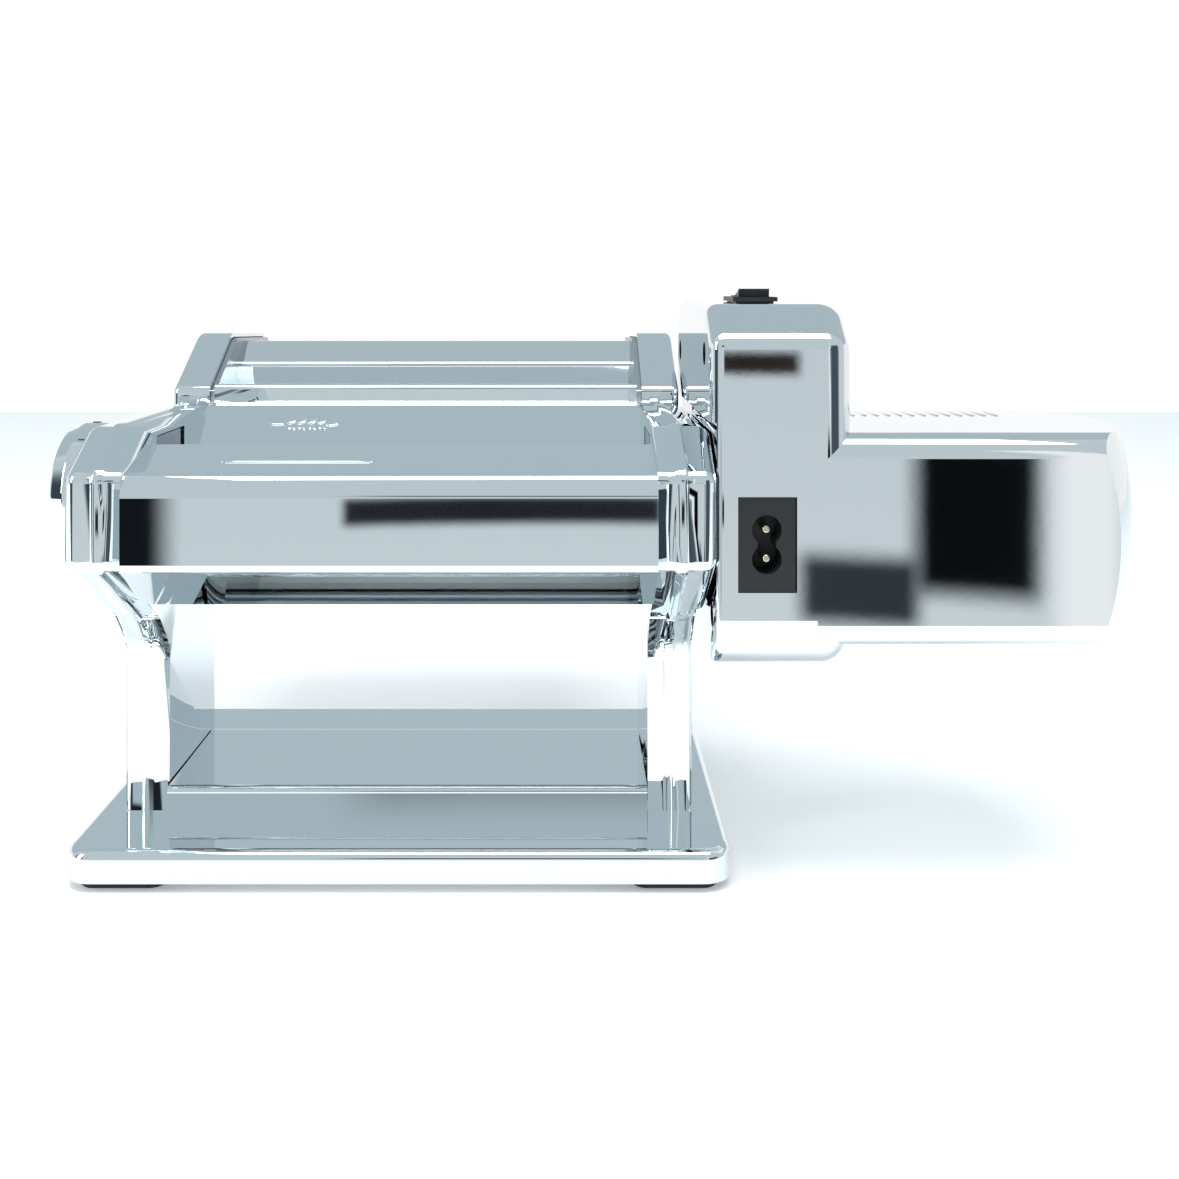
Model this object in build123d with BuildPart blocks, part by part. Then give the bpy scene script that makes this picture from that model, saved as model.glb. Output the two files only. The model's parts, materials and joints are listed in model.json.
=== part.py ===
"""Motor-driven pasta roller machine: a chrome sheeting head on two legs, a removable
cutter behind it and a motor unit that pulls off the right-hand side.

Frame, in millimetres: the origin is the centre of the base's footprint on the table,
+X points to the motor, +Y to the cutter, +Z up.
"""
from build123d import *
from math import atan2, cos, degrees, radians, sin
import os

os.makedirs("parts", exist_ok=True)

# ---------------------------------------------------------------- driving dimensions
# Sheet metal and general clearances
sheet = 1.2
pan_wall = 1.5
gap = 0.3
running = 0.05

# Base, deck and feet
base_overhang = 24.0
base_depth = 135.0
base_top = 12.6
base_corner = 9.0
base_edge = 3.0
foot_drop = 3.0
foot_length = 27.0
foot_depth = 20.0
foot_hole_r = 2.0
foot_hole_depth = 7.0
deck_height = 8.8
deck_front = -39.4
deck_corner = 2.0

# Side casings: outline in the Y-Z plane and their planes along X
frame_x = 78.0
frame_depth = 7.6
leg_depth = 6.9
head_depth = 9.5
head_front = -84.1
head_low = 101.1
head_shoulder = 129.1
head_crown_y = -63.4
head_top = 141.6
head_back_y = 6.0
head_back_z = 127.0
leg_front = -36.3
leg_rear = 19.0
leg_neck = 66.0
neck_y = -47.0
neck_z = 77.5
edge_round = 4.0

# Rollers
roller_r = 14.0
roller_play = 2.5
gap_narrow = 0.6
gap_wide = 4.8
drive_y = -2.6
axis_z = 116.9
journal_r = 8.0
hollow_r = 6.5
bush_r = 10.5
bush_width = 3.0

# Roller gears
gear_teeth = 10
gear_dedendum = 2.7
gear_addendum = 2.9
gear_root_width = 4.2
gear_tip_width = 1.8
gear_stand = 3.8
gear_width = 5.6

# Regulator
turn_span = 108.0
shaft_r = 4.0
disc_r = 7.5
block_width = 27.0
block_low = 94.0
block_high = 136.0
block_depth = 8.0
yoke_stand = 10.2
yoke_width = 3.0
post_r = 2.0
knob_r = 22.0
knob_width = 15.0

# Cutter
cutter_plate = 2.0
cutter_depth = 13.6
cutter_play = 0.6
cutter_front = 16.9
cutter_rear = 116.0
cutter_low = 103.0
cutter_top = 165.0
cut_z = 126.0
cut_tip = 10.5
cut_root = 8.6
cut_spacing = 19.4
cut_play = 3.4
wide_pair_y = 46.5
narrow_pair_y = 89.0
wide_strip = 6.5
narrow_strip = 1.5
ring_gap = 0.2
cut_teeth = 12

# Motor unit
box_depth = 23.5
box_right_depth = 17.0
body_length = 78.0
box_step_z = 143.5
box_front = -79.0
box_rear = 33.0
box_low = 69.5
box_top = 179.0
box_corner = 16.0
body_low = 77.0
body_top = 140.0
body_rear = 1.0
body_corner = 7.0
dome = 16.0
shell = 2.0
locating_pins = (-60.0, 10.0)

# ---------------------------------------------------------------- values worked out
seam_x = frame_x + frame_depth
leg_x = seam_x + leg_depth
head_x = seam_x + head_depth
base_width = 2 * (frame_x + base_overhang)
roller_half = frame_x - roller_play
gear_x = frame_x + gear_stand
block_x = frame_x + block_depth
yoke_x = frame_x + yoke_stand
gear_root = roller_r - gear_dedendum
gear_tip = roller_r + gear_addendum
cutter_bar = frame_x - cutter_play
cutter_inner = cutter_bar + cutter_plate
cutter_outer = cutter_inner + cutter_depth
cut_half = cutter_bar - cut_play
box_x = head_x + 0.4
box_high_x = cutter_outer + 0.6
parting_x = box_x + box_depth
box_right = parting_x + box_right_depth
body_end = box_right + body_length
tooth_step = 360.0 / gear_teeth
adjust_travel = gap_wide - gap_narrow
closed_y = drive_y - 2 * roller_r - gap_narrow
front_y = closed_y - adjust_travel
knob_y = closed_y - adjust_travel / 2
half_turn = radians(turn_span / 2)
throw = adjust_travel / 2 / sin(half_turn)
disc_z = axis_z + throw * cos(half_turn)
deck_top = base_top + deck_height
deck_half = frame_x - gap
cover_x = head_x - pan_wall
plate_y0 = -15.5
plate_z0 = axis_z + roller_r - 2.4
plate_y1 = 10.5
plate_z1 = plate_z0 + 12.1
motor_y = (box_front + body_rear) / 2
motor_z = (body_low + body_top) / 2
made = []


def keep(builder, name):
    """Label a finished piece and write it to its own file."""
    builder.part.label = name
    export_step(builder.part, f"parts/{name}.step")
    made.append(name)


def side_outline(inset=0.0):
    """Outline of a leg with its head, seen from the right, drawn in the Y-Z plane."""
    with BuildSketch(Plane.YZ) as outline:
        with BuildLine():
            FilletPolyline(
                (leg_front, base_top),
                (leg_front, leg_neck),
                (neck_y, neck_z),
                (head_front, head_low),
                (head_front, head_shoulder),
                (head_crown_y, head_top),
                (head_back_y, head_top),
                (leg_rear, head_back_z),
                (leg_rear, base_top),
                radius=(0.01, 12, 10, 5, 5, 7, 5, 7, 0.01),
                close=True,
            )
        make_face()
        if inset:
            offset(amount=-inset, kind=Kind.INTERSECTION)
    return outline.sketch


def sheet_face(points, corner, thickness=sheet, side=Side.RIGHT):
    """A bent sheet seen edge-on in the Y-Z plane, thickened to one side of its outline."""
    with BuildSketch(Plane.YZ) as bent:
        with BuildLine():
            FilletPolyline(*points, radius=corner)
            offset(amount=thickness, side=side)
        make_face()
    return bent.sketch


def along_x(face, x0, x1):
    """Stretch a Y-Z face from x0 to x1."""
    with BuildPart(mode=Mode.PRIVATE) as bar:
        add(face.moved(Location((x0, 0, 0))))
        extrude(amount=x1 - x0, dir=(1, 0, 0))
    return bar.part


def rod(y, z, radius, x0, x1):
    """A round bar along X."""
    with BuildPart(mode=Mode.PRIVATE) as bar:
        with BuildSketch(Plane.YZ.offset(x0)):
            with Locations((y, z)):
                Circle(radius)
        extrude(amount=x1 - x0)
    return bar.part


def block(x0, x1, y0, y1, z0, z1):
    """A plain block between two corners."""
    with BuildPart(mode=Mode.PRIVATE) as solid:
        with Locations(((x0 + x1) / 2, (y0 + y1) / 2, (z0 + z1) / 2)):
            Box(x1 - x0, y1 - y0, z1 - z0)
    return solid.part


def gear(y, z, x0, width, teeth, root, tip, root_width, tip_width, phase, bore):
    """A spur gear on an axis along X, with straight-sided teeth; phase in degrees."""
    with BuildPart(mode=Mode.PRIVATE) as wheel:
        with BuildSketch(Plane.YZ.offset(x0)):
            with Locations((y, z)):
                Circle(root)
                with PolarLocations(0, teeth, start_angle=phase):
                    Polygon(
                        (root - 1, -root_width / 2),
                        (tip, -tip_width / 2),
                        (tip, tip_width / 2),
                        (root - 1, root_width / 2),
                        align=None,
                    )
                if bore:
                    Circle(bore, mode=Mode.SUBTRACT)
        extrude(amount=width)
    return wheel.part


def flipped(piece):
    """The same piece on the other side of the machine."""
    return mirror(piece, about=Plane.YZ)


# ---------------------------------------------------------------- base
with BuildPart() as base_tray:
    with BuildSketch(Plane.XY.offset(foot_drop)):
        RectangleRounded(base_width, base_depth, base_corner)
    extrude(amount=base_top - foot_drop)
    fillet(base_tray.faces().sort_by(Axis.Z)[-1].edges(), base_edge)
    with BuildSketch(Plane.XY.offset(foot_drop)):
        RectangleRounded(base_width - 2 * sheet, base_depth - 2 * sheet, base_corner - sheet)
    extrude(amount=base_top - foot_drop - sheet - base_edge / 2, mode=Mode.SUBTRACT)
keep(base_tray, "base_tray")

pad_top = base_top - sheet - base_edge / 2
pad_x = base_width / 2 - foot_length / 2 - 4
pad_y = base_depth / 2 - foot_depth / 2 - 3
with BuildPart() as rubber_feet:
    with BuildSketch():
        with GridLocations(2 * pad_x, 2 * pad_y, 2, 2):
            RectangleRounded(foot_length, foot_depth, 5)
    extrude(amount=pad_top)
    fillet(rubber_feet.faces().group_by(Axis.Z)[0].edges(), 1.2)
    with BuildSketch():
        with GridLocations(2 * pad_x, 2 * pad_y, 2, 2):
            Circle(foot_hole_r)
    extrude(amount=foot_hole_depth, mode=Mode.SUBTRACT)
keep(rubber_feet, "rubber_feet")

deck_outline = (
    (deck_front, base_top),
    (deck_front, deck_top),
    (leg_rear - 2, deck_top),
    (leg_rear - 2, base_top),
)
deck_sheet = along_x(sheet_face(deck_outline, deck_corner), -deck_half, deck_half)
with BuildPart() as deck:
    add(deck_sheet)
keep(deck, "deck")

# ---------------------------------------------------------------- side frames and end covers
window_y0 = front_y - block_width / 2 - gap
window_y1 = closed_y + block_width / 2 - 2 + gap
frame_blank = along_x(side_outline(), frame_x, seam_x)
frame_hollow = along_x(side_outline(pan_wall), frame_x + pan_wall, seam_x + 1)
frame_window = block(frame_x - 1, seam_x, window_y0, window_y1, block_low - gap, block_high + gap)
drive_hole = rod(drive_y, axis_z, bush_r, frame_x - 1, seam_x)
tie_places = ((-76.0, 110.0), (10.5, 89.0), (-10.0, 17.4))
with BuildPart() as right_side_frame:
    add(frame_blank)
    add(frame_hollow, mode=Mode.SUBTRACT)
    add(frame_window, mode=Mode.SUBTRACT)
    add(drive_hole, mode=Mode.SUBTRACT)
keep(right_side_frame, "right_side_frame")

left_frame_solid = flipped(right_side_frame.part)
with BuildPart() as left_side_frame:
    add(left_frame_solid)
keep(left_side_frame, "left_side_frame")


def cover_solid(inset):
    """The outside form of an end cover, shrunk by a wall: a deep head over a flatter leg."""
    low = neck_z + 4
    with BuildPart(mode=Mode.PRIVATE) as head_half:
        add(side_outline(inset).moved(Location((seam_x, 0, 0))))
        extrude(amount=head_x - inset - seam_x, dir=(1, 0, 0))
        fillet(head_half.faces().sort_by(Axis.X)[-1].edges(), edge_round - inset / 2)
    with BuildPart(mode=Mode.PRIVATE) as leg_half:
        add(side_outline(inset).moved(Location((seam_x, 0, 0))))
        extrude(amount=leg_x - inset - seam_x, dir=(1, 0, 0))
        fillet(leg_half.faces().sort_by(Axis.X)[-1].edges(), edge_round / 2)
    head_zone = block(seam_x, head_x, -120, 60, low, 200)
    return (head_half.part & head_zone) + leg_half.part


cover_blank = cover_solid(0)
cover_hollow = cover_solid(pan_wall)
drive_mouth = rod(drive_y, axis_z, journal_r + 3, seam_x, head_x + 1)
with BuildPart() as right_end_cover:
    add(cover_blank)
    add(cover_hollow, mode=Mode.SUBTRACT)
    add(drive_mouth, mode=Mode.SUBTRACT)
    for pin_y in locating_pins:
        add(rod(pin_y, axis_z, 3 + gap, seam_x, head_x + 1), mode=Mode.SUBTRACT)
keep(right_end_cover, "right_end_cover")

# The left cover has the regulator's bush hole and the index pin's arc
index_r = 15.0
index_pin_r = 1.5
arc_half = turn_span / 2 + 8
left_cover_blank = flipped(cover_blank - cover_hollow)
with BuildPart() as index_arc:
    with BuildSketch(Plane.YZ.offset(-head_x - 1)):
        with BuildLine():
            CenterArc((knob_y, axis_z), index_r + 2.2, 90 - arc_half, 2 * arc_half)
            CenterArc((knob_y, axis_z), index_r - 2.2, 90 - arc_half, 2 * arc_half)
            for end in (90 - arc_half, 90 + arc_half):
                turn = radians(end)
                Line(
                    (knob_y + (index_r - 2.2) * cos(turn), axis_z + (index_r - 2.2) * sin(turn)),
                    (knob_y + (index_r + 2.2) * cos(turn), axis_z + (index_r + 2.2) * sin(turn)),
                )
        make_face()
    extrude(amount=pan_wall + 2)
regulator_hole = rod(knob_y, axis_z, shaft_r + 2, -head_x - 1, -seam_x)
with BuildPart() as left_end_cover:
    add(left_cover_blank)
    add(index_arc.part, mode=Mode.SUBTRACT)
    add(regulator_hole, mode=Mode.SUBTRACT)
keep(left_end_cover, "left_end_cover")

# ---------------------------------------------------------------- panels of the head
cover_points = (
    (-56.0, 132.6),
    (-57.4, 134.8),
    (-81.0, 128.6),
    (head_front, 123.0),
    (head_front, 101.3),
    (-64.8, 86.9),
)
cover_sheet = along_x(sheet_face(cover_points, (1.0, 4.0, 3.0, 3.0), side=Side.LEFT), -frame_x, frame_x)
with BuildPart() as front_cover:
    add(cover_sheet)
keep(front_cover, "front_cover")

hopper_points = (
    (plate_y0, plate_z0),
    (plate_y1, plate_z1),
    (plate_y1 + 3.0, plate_z1 - 2.0),
)
hopper_sheet = along_x(sheet_face(hopper_points, 1.5, 1.0), -frame_x, frame_x)
with BuildPart() as hopper_plate:
    add(hopper_sheet)
keep(hopper_plate, "hopper_plate")

rear_y = leg_rear - 3.8
rear_sheet = block(-frame_x, frame_x, rear_y, rear_y + sheet, 90.0, plate_z1 - 5)
with BuildPart() as rear_cover:
    add(rear_sheet)
keep(rear_cover, "rear_cover")

tie_r = 2.5
with BuildPart() as tie_rods:
    for tie_y, tie_z in tie_places:
        add(rod(tie_y, tie_z, tie_r, -frame_x, frame_x))
keep(tie_rods, "tie_rods")

with BuildPart() as tie_screws:
    for tie_y, tie_z in tie_places:
        for face in (-1, 1):
            x_in = face * (frame_x + pan_wall)
            x_out = face * (frame_x + pan_wall + 2.2)
            add(rod(tie_y, tie_z, 3.0, min(x_in, x_out), max(x_in, x_out)))
keep(tie_screws, "tie_screws")

# ---------------------------------------------------------------- driven (rear) roller
with BuildPart() as rear_roller:
    add(rod(drive_y, axis_z, roller_r, -roller_half, roller_half))
    add(rod(drive_y, axis_z, journal_r, -frame_x - bush_width - 2, cover_x - 1))
    fillet(rear_roller.edges().filter_by(GeomType.CIRCLE).filter_by(lambda e: e.radius > roller_r - 0.5), 0.8)
    with BuildSketch(Plane.YZ.offset(cover_x - 1)):
        with Locations((drive_y, axis_z)):
            RegularPolygon(5.0, 6)
    extrude(amount=-12, mode=Mode.SUBTRACT)
keep(rear_roller, "rear_roller")

rear_gear = gear(
    drive_y, axis_z, gear_x, gear_width, gear_teeth, gear_root, gear_tip,
    gear_root_width, gear_tip_width, 180.0, journal_r,
)
with BuildPart() as rear_roller_gear:
    add(rear_gear)
keep(rear_roller_gear, "rear_roller_gear")

# ---------------------------------------------------------------- adjustable (front) roller
front_end = frame_x + 3.0
with BuildPart() as front_roller:
    add(rod(front_y, axis_z, roller_r, -roller_half, roller_half))
    add(rod(front_y, axis_z, journal_r, -front_end, gear_x + gear_width))
    fillet(front_roller.edges().filter_by(GeomType.CIRCLE).filter_by(lambda e: e.radius > roller_r - 0.5), 0.8)
    add(rod(front_y, axis_z, hollow_r, -front_end, gear_x + gear_width), mode=Mode.SUBTRACT)
keep(front_roller, "front_roller")

front_gear = gear(
    front_y, axis_z, gear_x, gear_width, gear_teeth, gear_root, gear_tip,
    gear_root_width, gear_tip_width, tooth_step / 2, journal_r,
)
with BuildPart() as front_roller_gear:
    add(front_gear)
keep(front_roller_gear, "front_roller_gear")

# ---------------------------------------------------------------- bearing blocks and regulator
block_y0 = front_y - block_width / 2
block_y1 = front_y + block_width / 2 - 2
slot_half = disc_r + gap
disc_low = disc_z
disc_high = axis_z + throw
left_outer = -block_x
left_mid = -frame_x - 3.6
with BuildPart() as left_bearing_block:
    add(block(left_outer, -frame_x, block_y0, block_y1, block_low, block_high))
    add(rod(front_y, axis_z, journal_r + running, left_mid, -frame_x), mode=Mode.SUBTRACT)
    with BuildSketch(Plane.YZ.offset(left_outer)):
        with Locations((front_y, (disc_low + disc_high) / 2)):
            SlotCenterToCenter(disc_high - disc_low + 2 * gap, 2 * slot_half, rotation=90)
    extrude(amount=left_mid - left_outer, mode=Mode.SUBTRACT)
keep(left_bearing_block, "left_bearing_block")

right_inner_end = frame_x + 3.4
with BuildPart() as right_bearing_block:
    add(block(frame_x, right_inner_end, block_y0, block_y1, block_low, block_high))
    add(rod(front_y, axis_z, journal_r + running, frame_x, right_inner_end), mode=Mode.SUBTRACT)
keep(right_bearing_block, "right_bearing_block")

post_y = front_y - block_width / 2 + post_r + 0.2
post_rise = 16.2
with BuildPart() as right_yoke_plate:
    add(block(yoke_x, yoke_x + yoke_width, block_y0, block_y1, block_low + 3, block_high - 1))
    with BuildSketch(Plane.YZ.offset(yoke_x)):
        with Locations((front_y, (disc_low + disc_high) / 2)):
            SlotCenterToCenter(disc_high - disc_low + 2 * gap, 2 * slot_half, rotation=90)
    extrude(amount=yoke_width, mode=Mode.SUBTRACT)
    for rise in (-post_rise, post_rise):
        add(rod(post_y, axis_z + rise, post_r, right_inner_end, yoke_x))
keep(right_yoke_plate, "right_yoke_plate")

pin_angle = radians(90 + turn_span / 2)
with BuildPart() as regulator_shaft:
    add(rod(knob_y, axis_z, shaft_r, -head_x - 9.0, cover_x - 0.2))
keep(regulator_shaft, "regulator_shaft")

disc_centre_y = knob_y - adjust_travel / 2
with BuildPart() as eccentric_discs:
    for x0, width in ((left_outer + 0.3, left_mid - left_outer - 0.6), (yoke_x + 0.2, yoke_width - 0.4)):
        add(rod(disc_centre_y, disc_z, disc_r, x0, x0 + width))
        add(rod(knob_y, axis_z, shaft_r, x0, x0 + width), mode=Mode.SUBTRACT)
keep(eccentric_discs, "eccentric_discs")

with BuildPart() as bushings:
    for face in (-1, 1):
        x0 = min(face * frame_x, face * (frame_x + bush_width))
        add(rod(drive_y, axis_z, bush_r, x0, x0 + bush_width))
        add(rod(drive_y, axis_z, journal_r + running, x0, x0 + bush_width), mode=Mode.SUBTRACT)
    for x0, x1 in ((-head_x - 0.4, -cover_x + 2), (cover_x - 1.6, cover_x)):
        add(rod(knob_y, axis_z, shaft_r + 2, x0, x1))
        add(rod(knob_y, axis_z, shaft_r + running, x0, x1), mode=Mode.SUBTRACT)
keep(bushings, "bushings")

knob_x0 = -head_x - 0.7
knob_x1 = knob_x0 - knob_width
knob_bore = 9.0
pin_y = knob_y + index_r * cos(pin_angle)
pin_z = axis_z + index_r * sin(pin_angle)
with BuildPart() as regulator_knob:
    add(rod(knob_y, axis_z, knob_r, knob_x1, knob_x0))
    knob_face = regulator_knob.faces().sort_by(Axis.X)[0]
    chamfer(knob_face.edges(), 2.2, 5.0, reference=knob_face)
    fillet(regulator_knob.edges().filter_by(GeomType.CIRCLE).sort_by(Axis.X)[0:2], 1.6)
    add(rod(knob_y, axis_z, shaft_r + running, -head_x - knob_bore - 0.4, knob_x0), mode=Mode.SUBTRACT)
    add(rod(pin_y, pin_z, index_pin_r, knob_x0 - 6, -head_x + 1.2))
keep(regulator_knob, "regulator_knob")

# ---------------------------------------------------------------- scrapers
blade_z = axis_z - roller_r - 0.4
with BuildPart() as front_scraper:
    with BuildSketch(Plane.YZ.offset(-frame_x)):
        Polygon(
            (front_y + 2.0, blade_z),
            (front_y - 9.0, blade_z - 2.2),
            (front_y - 9.0, blade_z - 8.0),
            (front_y - 12.0, blade_z - 8.0),
            (front_y - 12.0, blade_z - 1.0),
            align=None,
        )
    extrude(amount=2 * frame_x)
keep(front_scraper, "front_scraper")

with BuildPart() as rear_scraper:
    with BuildSketch(Plane.YZ.offset(-frame_x)):
        Polygon(
            (drive_y - 2.0, blade_z),
            (drive_y + 9.0, blade_z - 2.2),
            (drive_y + 9.0, blade_z - 8.0),
            (drive_y + 12.0, blade_z - 8.0),
            (drive_y + 12.0, blade_z - 1.0),
            align=None,
        )
    extrude(amount=2 * frame_x)
keep(rear_scraper, "rear_scraper")

# ---------------------------------------------------------------- cutter rails on the head
rail_x = 60.0
rail_low = 106.0
rail_high = 128.5
rail_y = rear_y + sheet
rail_web = 1.8
rail_head = 1.6
with BuildPart() as cutter_rails:
    for face in (-1, 1):
        x = face * rail_x
        add(block(x - 2, x + 2, rail_y, rail_y + rail_web, rail_low, rail_high))
        add(block(x - 5, x + 5, rail_y + rail_web, rail_y + rail_web + rail_head, rail_low, rail_high))
keep(cutter_rails, "cutter_rails")

# ---------------------------------------------------------------- cutter attachment
plate_front = rail_y + 5.2


def cutter_outline(inset=0.0):
    """Outline of the cutter's end caps in the Y-Z plane."""
    with BuildSketch(Plane.YZ) as outline:
        with BuildLine():
            FilletPolyline(
                (cutter_front, 134.5),
                (cutter_front, 146.0),
                (50.0, cutter_top),
                (104.0, cutter_top - 2),
                (cutter_rear, 150.0),
                (cutter_rear, 115.0),
                (104.0, cutter_low),
                (32.0, cutter_low),
                (leg_rear + 1.4, 112.0),
                (leg_rear + 1.4, 131.0),
                radius=(1.5, 3, 12, 8, 8, 8, 8, 8, 4, 1.5),
                close=True,
            )
        make_face()
        if inset:
            offset(amount=-inset, kind=Kind.INTERSECTION)
    return outline.sketch


pairs = {"wide": (wide_pair_y, wide_strip), "narrow": (narrow_pair_y, narrow_strip)}
with BuildPart() as cutter_right_cap:
    add(cutter_outline().moved(Location((cutter_inner, 0, 0))))
    extrude(amount=cutter_outer - cutter_inner, dir=(1, 0, 0))
    fillet(cutter_right_cap.faces().sort_by(Axis.X)[-1].edges(), 2.5)
    add(cutter_outline(pan_wall).moved(Location((cutter_inner, 0, 0))))
    extrude(amount=cutter_outer - cutter_inner - pan_wall, dir=(1, 0, 0), mode=Mode.SUBTRACT)
right_cap_solid = cutter_right_cap.part
left_cap_solid = flipped(right_cap_solid)
with BuildPart() as cutter_right_cap:
    add(right_cap_solid)
    for pair_y, strip in pairs.values():
        mouth = rod(pair_y + cut_spacing / 2, cut_z, 6.5, cutter_inner, cutter_outer + 1)
        add(mouth, mode=Mode.SUBTRACT)
keep(cutter_right_cap, "cutter_right_cap")
with BuildPart() as cutter_left_cap:
    add(left_cap_solid)
keep(cutter_left_cap, "cutter_left_cap")

plate_blank = along_x(cutter_outline(pan_wall + 0.4), cutter_bar, cutter_inner)
plate_bores = []
for pair_y, strip in pairs.values():
    for face in (-1, 1):
        plate_bores.append(rod(pair_y + face * cut_spacing / 2, cut_z, 5 + running, cutter_bar, cutter_inner))
right_plate = plate_blank - plate_bores
left_plate = flipped(right_plate)
with BuildPart() as cutter_side_plates:
    add(right_plate)
    add(left_plate)
keep(cutter_side_plates, "cutter_side_plates")

front_points = (
    (plate_front, cutter_low + 4),
    (plate_front, 130.5),
    (cutter_front - 0.4, 135.5),
    (cutter_front - 0.4, 147.6),
    (26.0, 146.4),
    (40.0, 138.0),
)
front_strip = along_x(sheet_face(front_points, (1.5, 1.5, 1.8, 3.0)), -cutter_bar, cutter_bar)
with BuildPart() as cutter_front_cover:
    add(front_strip)
keep(cutter_front_cover, "cutter_front_cover")

bar_points = (
    (50.5, 139.0),
    (48.0, 153.4),
    (66.0, 161.4),
    (84.0, 159.5),
    (85.0, 139.0),
)
bar_sheet = along_x(sheet_face(bar_points, (2.0, 9.0, 4.0)), -cutter_bar, cutter_bar)
with BuildPart() as cutter_center_bar:
    add(bar_sheet)
keep(cutter_center_bar, "cutter_center_bar")

rear_points = (
    (94.0, 139.0),
    (97.0, 159.6),
    (112.0, 151.0),
    (113.6, 116.0),
    (104.0, cutter_low + 2.5),
)
rear_strip = along_x(sheet_face(rear_points, (2.0, 5.0, 5.0)), -cutter_bar, cutter_bar)
with BuildPart() as cutter_rear_cover:
    add(rear_strip)
keep(cutter_rear_cover, "cutter_rear_cover")

with BuildPart() as cutter_guides:
    for face in (-1, 1):
        x = face * rail_x
        lip_y = rail_y + rail_web - gap
        back_y = rail_y + rail_web + rail_head + gap
        add(block(x - 8, x + 8, rail_y + 0.5, plate_front, rail_low - 1, rail_high))
        add(block(x - 2 - gap, x + 2 + gap, rail_y, lip_y, rail_low - 2, rail_high + 1), mode=Mode.SUBTRACT)
        add(block(x - 5 - gap, x + 5 + gap, lip_y, back_y, rail_low - 2, rail_high + 1), mode=Mode.SUBTRACT)
keep(cutter_guides, "cutter_guides")

with BuildPart() as cutter_rods:
    for rod_y, rod_z in ((28.0, 108.5), (67.75, 108.0), (96.0, 109.0)):
        add(rod(rod_y, rod_z, 2.5, -cutter_bar, cutter_bar))
keep(cutter_rods, "cutter_rods")


def cutting_roller(y, strip, shift, socket):
    """A cutting roller: rings as wide as a strip, a strip apart, on a round core."""
    pitch = 2 * strip
    count = int((2 * cut_half - 4) // pitch)
    with BuildPart(mode=Mode.PRIVATE) as roller:
        add(rod(y, cut_z, cut_root, -cut_half, cut_half))
        add(rod(y, cut_z, 5.0, -cutter_outer + 4, cutter_outer - 2.4 if socket else cutter_outer - 6))
        for place in range(count):
            x0 = (place - count / 2) * pitch + shift * strip + ring_gap / 2
            add(rod(y, cut_z, cut_tip, x0, x0 + strip - ring_gap))
        if socket:
            with BuildSketch(Plane.YZ.offset(cutter_outer - 2.4)):
                with Locations((y, cut_z)):
                    RegularPolygon(3.6, 6)
            extrude(amount=-10, mode=Mode.SUBTRACT)
    return roller.part


for pair, (pair_y, strip) in pairs.items():
    for place, face in (("front", -1), ("rear", 1)):
        roller_y = pair_y + face * cut_spacing / 2
        roller_solid = cutting_roller(roller_y, strip, 0 if face < 0 else 1, face > 0)
        with BuildPart() as cutting:
            add(roller_solid)
        keep(cutting, f"{pair}_cutting_roller_{place}")
        phase = 0.0 if face < 0 else 180.0 / cut_teeth
        gear_solid = gear(roller_y, cut_z, cutter_inner + 1.6, 5.0, cut_teeth, 8.2, 10.9, 2.5, 1.1, phase, 5.0)
        with BuildPart() as cutter_gear:
            add(gear_solid)
        keep(cutter_gear, f"{pair}_cutter_gear_{place}")

comb_z = cut_z - cut_tip - 1.0
with BuildPart() as cutter_combs:
    for pair_y, strip in pairs.values():
        for face in (-1, 1):
            comb_y = pair_y + face * (cut_spacing / 2 + 4.0)
            add(block(-cutter_bar, cutter_bar, comb_y - 3, comb_y + 3, comb_z - 1.2, comb_z))
keep(cutter_combs, "cutter_combs")

# ---------------------------------------------------------------- motor unit: shells


def box_corners(inset):
    """Corners of the gear housing's side outline, moved in by a wall."""
    return (
        (box_front + inset, box_low + inset),
        (box_front + inset, 168.0 - inset / 2),
        (box_front + 13.0 + inset / 2, box_top - 0.8 - inset),
        (box_rear - 6 - inset / 2, box_top - inset),
        (box_rear - inset, 150.0),
        (box_rear - inset, box_low + inset),
    )


def box_radii(inset):
    """Corner radii that go with those corners."""
    return (box_corner - inset, 6.0, 8.0, 10.0, 20.0, box_corner - inset)


def box_outline(inset=0.0):
    """Side outline of the gear housing in the Y-Z plane."""
    with BuildSketch(Plane.YZ) as outline:
        with BuildLine():
            FilletPolyline(*box_corners(inset), radius=box_radii(inset), close=True)
        make_face()
    return outline.sketch


def body_solid(inset):
    """The motor's barrel: a rounded box along X whose end bulges like a lens."""
    low, high = body_low + inset, body_top - inset
    front, rear = box_front + inset, body_rear - inset
    reach = body_end + dome - inset
    half_depth = (body_rear - box_front) / 2
    swing = (half_depth**2 + dome**2) / (2 * dome)
    with BuildPart(mode=Mode.PRIVATE) as barrel:
        with BuildSketch(Plane.YZ.offset(parting_x + 6)):
            with Locations((motor_y, motor_z)):
                RectangleRounded(rear - front, high - low, body_corner - inset)
        extrude(amount=reach - parting_x - 6)
    with BuildPart(mode=Mode.PRIVATE) as lens_part:
        with BuildSketch(Plane.XZ.offset(-motor_y)):
            with BuildLine():
                lens = ThreePointArc(
                    (reach - 5, low - 2), (reach, motor_z), (reach - 5, high + 2)
                )
                Polyline(lens @ 1, (reach - swing, high + 2), (reach - swing, low - 2), lens @ 0)
            make_face()
        revolve(axis=Axis((reach - swing, motor_y, 0), (0, 0, 1)))
    straight = block(parting_x, reach - swing, front - 5, rear + 5, low - 2, high + 2)
    return barrel.part & (lens_part.part + straight)


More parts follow.
